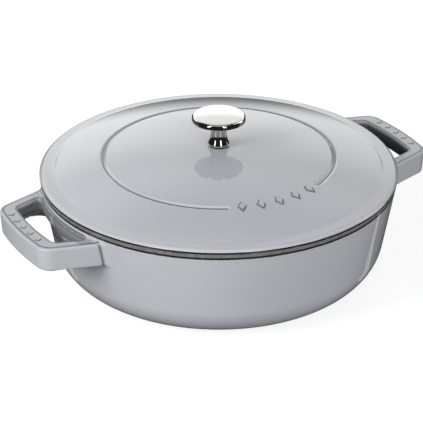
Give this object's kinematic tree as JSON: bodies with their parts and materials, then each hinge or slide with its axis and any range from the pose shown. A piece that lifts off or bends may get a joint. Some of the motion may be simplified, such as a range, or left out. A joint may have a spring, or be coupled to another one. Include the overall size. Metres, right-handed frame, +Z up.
{
  "type": "cast iron pot",
  "caption": "Round, shallow enamelled cast iron pot with cast-on loop handles and a domed lid that lifts off by a polished, screwed-on knob.",
  "frame": {"origin": "centre of the pot's flat bottom, on the surface that it stands on", "axes": "+Z up, +X along the line through both handles, -Y towards the break in the lid's ring groove"},
  "size_m": [0.363, 0.29, 0.1352],
  "materials": {
    "enamelled_iron": "gloss grey enamel outside, matte black enamel inside",
    "polished_metal": "mirror polished",
    "gasket_rubber": "matte",
    "screw_steel": "bright plated"
  },
  "bodies": {
    "pot": {"pot": "enamelled_iron"},
    "lid": {"lid": "enamelled_iron", "knob_gasket": "gasket_rubber"},
    "knob": {"knob": "polished_metal"},
    "screw": {"knob_screw": "screw_steel", "flat_washer": "screw_steel", "lock_washer": "screw_steel"}
  },
  "joints": [
    {"name": "lid_lift", "type": "slide", "parent": "pot", "child": "lid", "axis": [0, 0, 1], "range_m": [0, 0.2]},
    {"name": "knob_unscrew", "type": "hinge", "parent": "lid", "child": "knob", "pos_m": [0, 0, 0.11], "axis": [0, 0, 1], "range_deg": [0, 2880]},
    {"name": "screw_back_out", "type": "slide", "parent": "lid", "child": "screw", "axis": [0, 0, -1], "range_m": [0, 0.008]}
  ],
  "couplings": [
    {"joint": "screw_back_out", "follows": "knob_unscrew", "m_per_rad": 0.00015915}
  ]
}
